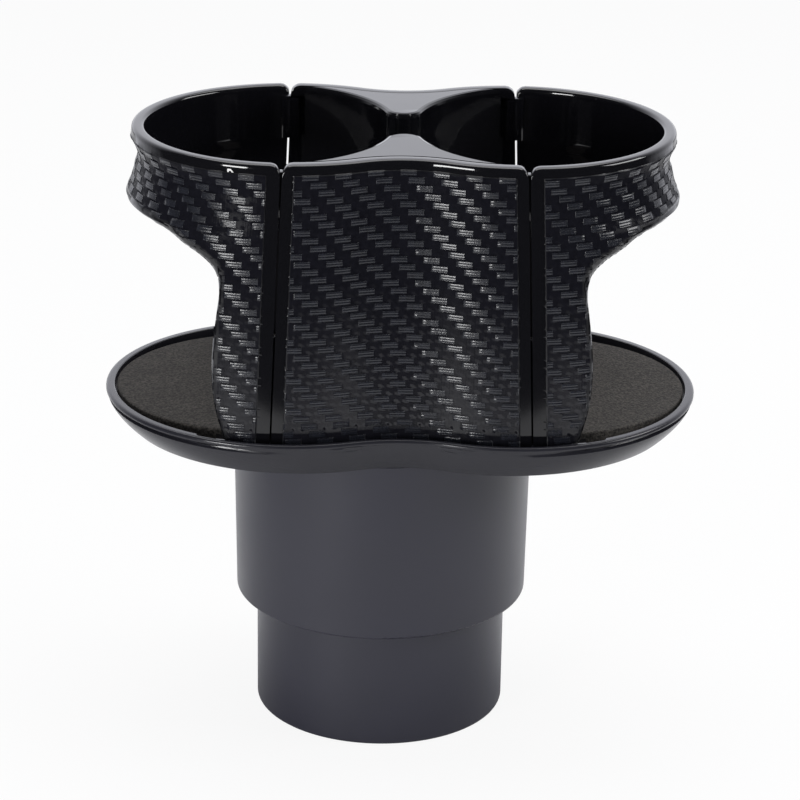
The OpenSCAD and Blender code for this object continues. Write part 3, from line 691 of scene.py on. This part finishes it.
def add_foot(mesh, side):
    """Adds the flange at the foot of a leg: a sector of a ring that lies on the deck."""
    low_r, high_r, height, bevel = CUP_R + LEAN - ARM_WALL + 0.2, CUP_R + LEAN + 1.6, 1.5, 0.3
    rings = []
    for x in np.linspace(SEAM_FOOT + ARM_STRIP, LEG_X - 1.0, 12):
        near, top, far = [
            math.sqrt(r * r - (x - HALF_PITCH) ** 2) for r in (low_r, high_r - bevel, high_r)
        ]
        section = [(near, 0), (far, 0), (far, height - bevel), (top, height), (near, height)]
        rings.append([mesh.verts.new((x, side * y, DECK + z)) for y, z in section])
    for a, b in zip(rings[:-1], rings[1:]):
        for i in range(5):
            mesh.faces.new((a[i], b[i], b[(i + 1) % 5], a[(i + 1) % 5]))
    mesh.faces.new(rings[0][::-1])
    mesh.faces.new(rings[-1])


def add_tenon(mesh, side):
    """Adds the barbed tongue that snaps down through the deck."""
    half_t, half_l = TENON_HALF
    reach, barb = 1.4, 0.6
    angle, centre = tenon_place(side)
    centre = Vector((*centre, 0))
    turn = Matrix.Rotation(angle, 4, "Z")
    low = DECK - DECK_T - reach
    section = [
        (-half_t, DECK + 1), (-half_t, low), (half_t, low), (half_t + barb, low + 1.1),
        (half_t, low + 1.2), (half_t, DECK + 1),
    ]
    rows = [
        [mesh.verts.new(turn @ Vector((x, y, z)) + centre) for x, z in section]
        for y in (-half_l, half_l)
    ]
    n = len(section)
    for i in range(n):
        mesh.faces.new((rows[0][i], rows[1][i], rows[1][(i + 1) % n], rows[0][(i + 1) % n]))
    mesh.faces.new(rows[0][::-1])
    mesh.faces.new(rows[1])


def add_arm_details(thing):
    """Joins the feet, the tongues, the halves of the catches and the seams' ribs to an arm."""
    mesh = bmesh.new()
    inner_y, catch_z = CUP_R - WALL_T, TOP - CATCH_DROP - CATCH_H
    x, top = seam_x(catch_z) + SEAM_GAP / 2, catch_z + CATCH_H
    rib_half, tongue_in = 0.8, 1.6
    for side in (-1, 1):
        # Arm's half of the catch
        ys = sorted((side * (inner_y - 2), side * (inner_y + 0.6)))
        add_block(mesh, (x - 0.95, ys[0], catch_z), (x + 1.5, ys[1], top + 0.9))
        # Rib that closes the sight through the seam's foot
        rib = np.array((seam_x(DECK + 16), side * (inner_y + 2.9)))
        add_block(
            mesh, (*(rib - rib_half), DECK + 3.4), (*(rib + rib_half), DECK + 30), 0.1, 45)
        # Tongue that enters the pillar's half of the catch
        ys = sorted((side * (inner_y - 1.6), side * (inner_y - 0.4)))
        add_block(
            mesh, (x - 1.4, ys[0], catch_z + tongue_in), (x + 0.6, ys[1], top - tongue_in), 0.2)
        add_foot(mesh, side)
        add_tenon(mesh, side)
    bmesh.ops.recalc_face_normals(mesh, faces=mesh.faces)
    bmesh.ops.scale(mesh, vec=(MM, MM, MM), verts=mesh.verts)
    mesh.from_mesh(thing.data)
    mesh.to_mesh(thing.data)
    mesh.free()


def finish_piece(thing, node, middle, half_turn=False, sharp_deg=38):
    """Moves a piece from the origin to the holder, in front or turned to the rear."""
    turn = Matrix.Rotation(math.pi if half_turn else 0, 4, "Z")
    thing.data.transform(Matrix.Translation(middle) @ turn)
    shade(thing, sharp_deg)
    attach(thing, "holder")
    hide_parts(node)


def make_arm(name, node, half_turn, middle, material, first_across, first_down):
    """Arm with its ring and two legs, the twill starting where the photo has it."""
    arm = arm_mesh(name, material, first_across, first_down)
    cut_window(arm)
    add_arm_details(arm)
    finish_piece(arm, node, middle, half_turn)


def make_panel(name, node, half_turn, middle, material):
    """Waisted panel between two seams, with its lip over the pillar's wall."""
    first_across, first_down = 25.75 / CELL, 0.5
    line_clear, half_count = 0.35, 20
    strips = strip_columns(PANEL_STRIP)
    start = strips[-1][0]
    clear = SEAM_TOP - SEAM_GAP / 2 - start - line_clear
    lines = twill_lines(-half_count, 2 * half_count, COLUMN_LINES) - np.mod(first_across, REPEAT)
    lines = lines[np.abs(lines * CELL) < clear]
    between = np.linspace(0, 1, 10)[1:-1]

    depth, inset, proud = outer_depths(first_down)
    down = (depth - BAND_H - FIELD_PROUD) / CELL + first_down
    deep = np.array([WALLS, LIP_H + 1.3, LIP_H - 0.1, 1.5, 0.3, 0.06, 0])
    back = np.array([PANEL_WALL, PANEL_WALL, WALL_T, WALL_T, WALL_T, WALL_T - 0.1, WALL_T - 0.45])
    all_depth = np.concatenate([depth, deep])

    def place(x_of, distance, on):
        """Column of points down the front and up the back, their twill and their grain."""
        z = TOP - all_depth - corner_drop(np.full(len(all_depth), distance), all_depth)
        x = x_of(z)
        across = x / CELL + np.mod(first_across, REPEAT)
        share = on * proud
        rise = FIELD_PROUD * np.minimum(on, proud)
        rise = rise + twill_height(across[:len(depth)], np.maximum(down, 0)) * share
        grow = np.concatenate([rise - inset, -back])
        waist = WAIST_TOP + (WAIST_FOOT - WAIST_TOP) * fall(z)
        y = -outline_y(x, CUP_R + LEAN * fall(z) + grow, waist + grow)
        places = np.stack([across, np.concatenate([down, np.zeros(len(deep))])], 1)
        return np.stack([x, y, z], 1), places, np.concatenate([share, np.zeros(len(deep))])

    def half_width(z):
        """Half of the panel's width at a height."""
        return seam_x(z) - SEAM_GAP / 2

    columns = [place(lambda z: -(half_width(z) - d), d, on) for d, on in strips]
    columns += [
        place(lambda z: -(half_width(z) - start) * (1 - t) + lines[0] * CELL * t, start, 1.0)
        for t in between
    ]
    columns += [place(lambda z: np.full(len(z), line * CELL), start, 1.0) for line in lines]
    columns += [
        place(lambda z: lines[-1] * CELL * (1 - t) + (half_width(z) - start) * t, start, 1.0)
        for t in between
    ]
    columns += [place(lambda z: half_width(z) - d, d, on) for d, on in strips[::-1]]

    points, twill, grain = (np.array(part) for part in zip(*columns))
    count, rows = points.shape[:2]
    panel = new_object(name, points.reshape(-1, 3), ring_faces(count, rows), material)
    set_grain(panel, twill.reshape(-1, 2), grain.ravel())
    finish_piece(panel, node, middle, half_turn)


def outline_loop(lobe_r, waist, pitch=HALF_PITCH):
    """Closed line of two lobes joined by a concave waist, with even steps on every arc."""
    fillet = (pitch ** 2 + waist ** 2 - lobe_r ** 2) / (2 * (lobe_r - waist))
    turn = math.atan2(waist + fillet, pitch)
    lobe = np.linspace(0, math.pi - turn, 72, endpoint=False)
    bay = np.linspace(math.pi / 2 - turn, 0, 16, endpoint=False)
    quarter = np.concatenate([
        np.stack([pitch + lobe_r * np.cos(lobe), lobe_r * np.sin(lobe)], 1),
        np.stack([fillet * np.sin(bay), waist + fillet * (1 - np.cos(bay))], 1),
    ])
    half = np.concatenate([quarter, [[0, waist]], quarter[:0:-1] * (-1, 1)])
    return np.concatenate([half, -half])


def circle_loop(x, y, radius, count=72):
    """Closed line of a circle."""
    a = np.arange(count) * 2 * math.pi / count
    return np.stack([x + radius * np.cos(a), y + radius * np.sin(a)], 1)


def prism(loop, low, high, material):
    """Upright solid over a closed line, which another piece takes in or loses."""
    n = len(loop)
    points = [(x, y, z) for z in (low, high) for x, y in loop]
    faces = [tuple(range(n - 1, -1, -1)), tuple(range(n, 2 * n))]
    faces += [(i, (i + 1) % n, (i + 1) % n + n, i + n) for i in range(n)]
    return new_object("prism", points, faces, material)


def combine(thing, other, operation):
    """Joins another solid to a piece or cuts it out, and removes the other."""
    step = thing.modifiers.new("step", "BOOLEAN")
    step.operation, step.object, step.solver = operation, other, "MANIFOLD"
    apply_modifiers(thing)
    bpy.data.objects.remove(other)


def tray_section():
    """Section of the tray from the deck over the rim and down the skirt.

    Each row is the inset from the outline, the drawing in of the ends, and the height.
    """
    rows = [
        (8, 0, DECK), (RIM_W, 0, DECK), (RIM_W, 0, RIM - 0.4), (RIM_W - 0.1, 0, RIM - 0.15),
        (RIM_W - 0.35, 0, RIM), (0.9, 0, RIM), (0.6, 0, RIM - 0.04), (0.35, 0, RIM - 0.14),
        (0.16, 0, RIM - 0.3), (0.04, 0, RIM - 0.52), (0, 0, RIM - 0.75), (0, 0, RIM - 1.1),
        (0.08, 0, RIM - 1.25), (0.35, 1.4, RIM - 1.35), (0.45, 1.8, RIM - 1.8),
        (0.5, 1.4, RIM - 2.2),
    ]
    start, top = 0.4, RIM - 1.95
    for t in np.linspace(0.1, 1, 15):
        bow = t ** 1.5
        inset = start + (SKIRT_IN - start) * bow
        rows.append((inset, SKIRT_END_IN * bow, top - (top - TRAY_FOOT) * t))
    rows += [
        (SKIRT_IN + 2.2, SKIRT_END_IN, TRAY_FOOT),
        (SKIRT_IN * 0.45 + 2.2, SKIRT_END_IN * 0.4, TRAY_FOOT + 2.7), (RIM_W + 1, 0, DECK - DECK_T),
        (8, 0, DECK - DECK_T),
    ]
    return rows


def make_tray(middle, material):
    """Tray with its rim bead, undercut and curved skirt, its recess, well and turntable ring."""
    rows = tray_section()
    loops = [outline_loop(TRAY_R - i, TRAY_WAIST - i, HALF_PITCH - draw) for i, draw, _ in rows]
    points = [(x, y, row[2]) for row, loop in zip(rows, loops) for x, y in loop]
    n = len(loops[0])
    faces = [tuple(range(n)), tuple(len(points) - 1 - i for i in range(n))]
    for k in range(len(rows) - 1):
        a, b = k * n, (k + 1) * n
        faces += [(a + i, b + i, b + (i + 1) % n, a + (i + 1) % n) for i in range(n)]
    tray = new_object("tray_moulding", points, faces, material)
    axis = -middle.x / MM

    well = prism(circle_loop(axis, 0, WELL_R + WELL_WALL), WELL_FOOT, DECK - 0.4, material)
    combine(tray, well, "UNION")
    ring = prism(circle_loop(axis, 0, RING_R, 128), RING_FOOT, DECK - 1.2, material)
    inside = prism(circle_loop(axis, 0, RING_R - RING_W, 128), BELOW, DECK - DECK_T, material)
    combine(ring, inside, "DIFFERENCE")
    combine(tray, ring, "UNION")
    recess = outline_loop(TRAY_R - RECESS_EDGE, TRAY_WAIST - RECESS_EDGE)
    recess[:, 0] = np.clip(recess[:, 0], -RECESS_X, RECESS_X)
    combine(tray, prism(recess, DECK, RIM + 1, material), "DIFFERENCE")

    holes = [(circle_loop(axis, 0, WELL_R), WELL_FLOOR)]
    holes += [(circle_loop(axis, 0, PIVOT_HOLE_R), BELOW)]
    holes += [(circle_loop(0, y, SCREW_HOLE_R, 32), BELOW) for y in SCREW_HOLE_Y]
    half_t, half_l = SLOT_HALF
    for end in (-1, 1):
        for side in (-1, 1):
            angle, centre = tenon_place(side)
            out = half_t * np.array((math.cos(angle), math.sin(angle)))
            along = half_l * np.array((-math.sin(angle), math.cos(angle)))
            slot = [centre - out - along, centre + out - along,
                    centre + out + along, centre - out + along]
            holes.append((np.array(slot) * end, BELOW))
    for loop, low in holes:
        combine(tray, prism(loop, low, DECK + 1, material), "DIFFERENCE")
    finish_piece(tray, "tray", middle, sharp_deg=30)


def make_pad(name, node, half_turn, middle, material):
    """Foam pad: a disc that stops at the pillars, its cut edge a little soft."""
    centre = TRAY_R + HALF_PITCH - RIM_W - PAD_GAP - PAD_R
    clear = HOLLOW_R - PAD_GAP
    spokes, edge_soft = 240, 0.5
    angles = np.arange(spokes) * 2 * math.pi / spokes
    reach = []
    steps = np.linspace(0, PAD_R, 2000)
    for a in angles:
        x, y = centre + steps * math.cos(a), steps * math.sin(a)
        ok = (x >= HOLLOW_X) | (np.hypot(x - HOLLOW_X, np.abs(y) - HOLLOW_Y) <= clear)
        reach.append(steps[ok].max())
    reach = np.array(reach)
    rings = [(1.0, 0.0, 0.0), (1.0, 0.0, PAD_T - edge_soft)]
    rings += [
        (1.0, edge_soft * (1 - math.cos(a)), PAD_T - edge_soft * (1 - math.sin(a)))
        for a in np.radians([30, 60, 90])
    ]
    rings += [(s, edge_soft, PAD_T) for s in (0.96, 0.9, 0.8, 0.65, 0.5, 0.35, 0.2, 0.08)]
    points = []
    for share, inset, z in rings:
        r = (reach - inset) * share
        points += [
            (centre + r[i] * math.cos(angles[i]), r[i] * math.sin(angles[i]), DECK + z)
            for i in range(spokes)
        ]
    faces = []
    for k in range(len(rings) - 1):
        a, b = k * spokes, (k + 1) * spokes
        faces += [(a + i, a + (i + 1) % spokes, b + (i + 1) % spokes, b + i) for i in range(spokes)]
    last = (len(rings) - 1) * spokes
    faces += [tuple(last + i for i in range(spokes)), tuple(range(spokes - 1, -1, -1))]
    pad = new_object(name, points, faces, material)
    finish_piece(pad, node, middle, half_turn, 50)


def dress_node(node, material, sharp_deg=30):
    """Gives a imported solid, whose shape is right, its material."""
    node.data.materials.clear()
    node.data.materials.append(material)
    shade(node, sharp_deg)


def make_floor():
    """Pale table with a front edge, lit towards white for the camera alone.

    It is narrow beside the holder, so that the glossy cups mirror the dark room there.
    """
    material, tree, shader = new_material("matt_white_table")
    shader.inputs["Base Color"].default_value = linear("#e6e6e6")
    shader.inputs["Roughness"].default_value = 0.9
    path = add(tree, "LightPath")
    lit = add(tree, "Emission", {"Color": (1, 1, 1, 1), "Strength": 1.0})
    share = add(tree, "Math", {0: path.outputs["Is Camera Ray"], 1: 0.9}, operation="MULTIPLY")
    mix = add(tree, "MixShader", {0: share.outputs[0], 1: shader.outputs[0], 2: lit.outputs[0]})
    tree.links.new(mix.outputs[0], tree.nodes["Material Output"].inputs["Surface"])
    mesh = bpy.data.meshes.new("table")
    front, wide, back, side, near_side = -0.38, 0.35, 2.6, 2.0, 0.28
    mesh.from_pydata([
        (-near_side, front, 0), (near_side, front, 0), (near_side, wide, 0),
        (side, back, 0), (-side, back, 0), (-near_side, wide, 0),
    ], [], [(0, 1, 2, 3, 4, 5)])
    mesh.materials.append(material)
    table = bpy.data.objects.new("table", mesh)
    bpy.context.scene.collection.objects.link(table)


def make_world():
    """White studio for the camera, with a dark room behind it in what is glossy."""
    world = bpy.data.worlds.new("studio")
    bpy.context.scene.world = world
    world.use_nodes = True
    tree = world.node_tree
    tree.nodes.clear()
    path = add(tree, "LightPath")
    place = add(tree, "SeparateXYZ", {"Vector": add(tree, "TexCoord").outputs["Generated"]})
    behind = add(tree, "MapRange", {
        "Value": place.outputs["Y"], "From Min": 0.2, "From Max": 0.85,
        "To Min": 0.03, "To Max": 1.45,
    })
    glossy = add(tree, "Background", {
        "Color": linear("#f6f7ff"), "Strength": behind.outputs["Result"],
    })
    diffuse = add(tree, "Background", {"Color": linear("#f6f7ff"), "Strength": 0.4})
    white = add(tree, "Background", {"Color": (1, 1, 1, 1), "Strength": 1.0})
    lit = add(tree, "MixShader", {
        0: path.outputs["Is Glossy Ray"], 1: diffuse.outputs[0], 2: glossy.outputs[0],
    })
    seen = add(tree, "MixShader", {
        0: path.outputs["Is Camera Ray"], 1: lit.outputs[0], 2: white.outputs[0],
    })
    add(tree, "OutputWorld", {"Surface": seen.outputs[0]})


def add_softbox(name, place, aim, size, watts):
    """Rectangular lamp that looks at a point; lengths are metres."""
    data = bpy.data.lights.new(name, "AREA")
    data.shape = "RECTANGLE"
    data.size, data.size_y = size
    data.energy = watts
    lamp = bpy.data.objects.new(name, data)
    lamp.location = place
    lamp.rotation_mode = "QUATERNION"
    lamp.rotation_quaternion = (Vector(aim) - Vector(place)).to_track_quat("-Z", "Y")
    bpy.context.scene.collection.objects.link(lamp)


def make_lights():
    """Low softbox on the left, a higher one on the right, and a large one overhead."""
    aim = (0, 0, 0.1)
    add_softbox("softbox_left", (-0.68, -0.85, 0.2), aim, (0.34, 0.3), 6.5)
    add_softbox("softbox_right", (0.95, -0.1, 0.55), aim, (0.6, 0.35), 5)
    add_softbox("softbox_top", (0.0, 0.25, 1.2), aim, (1.2, 0.8), 10)


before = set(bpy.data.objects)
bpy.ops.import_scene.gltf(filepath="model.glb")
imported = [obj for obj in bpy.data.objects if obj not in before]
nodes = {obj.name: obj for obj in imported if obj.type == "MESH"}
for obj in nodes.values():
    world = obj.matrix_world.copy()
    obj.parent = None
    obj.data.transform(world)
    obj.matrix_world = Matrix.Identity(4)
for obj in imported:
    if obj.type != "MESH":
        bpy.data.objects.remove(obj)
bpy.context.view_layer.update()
bpy.context.scene.view_settings.view_transform = "Standard"

low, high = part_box("tray")
holder_middle = Vector(((low.x + high.x) / 2, 0, 0))
photo_camera(holder_middle)

abs_gloss = polished_abs()
abs_grain = twill_grained_abs()
abs_tray = satin_abs("satin_moulded_abs_tray", "#1f1f24", "#27272d", 0.22, 0.18, 0.38)
abs_drum = satin_abs("satin_moulded_abs_drum", "#23232d", "#292935", 0.32, 0.18)
eva_foam = cut_eva_foam()
zinc = zinc_plated_steel()

for name, material in {
    "base_cup": abs_drum, "swivel_plate": abs_gloss, "plate_screws": zinc,
    "pivot_washer": zinc, "pivot_screw": zinc, "pillar_front": abs_gloss,
    "pillar_rear": abs_gloss, "pillar_screws": zinc,
}.items():
    dress_node(nodes[name], material)

make_arm("arm_right_moulding", "arm_right", False, holder_middle, abs_grain, 0.29, 0.0)
make_arm("arm_left_moulding", "arm_left", True, holder_middle, abs_grain, 1.34, 0.3)
make_panel("panel_front_moulding", "panel_front", False, holder_middle, abs_grain)
make_panel("panel_rear_moulding", "panel_rear", True, holder_middle, abs_grain)
make_tray(holder_middle, abs_tray)
make_pad("pad_right_foam", "pad_right", False, holder_middle, eva_foam)
make_pad("pad_left_foam", "pad_left", True, holder_middle, eva_foam)

make_floor()
make_world()
make_lights()
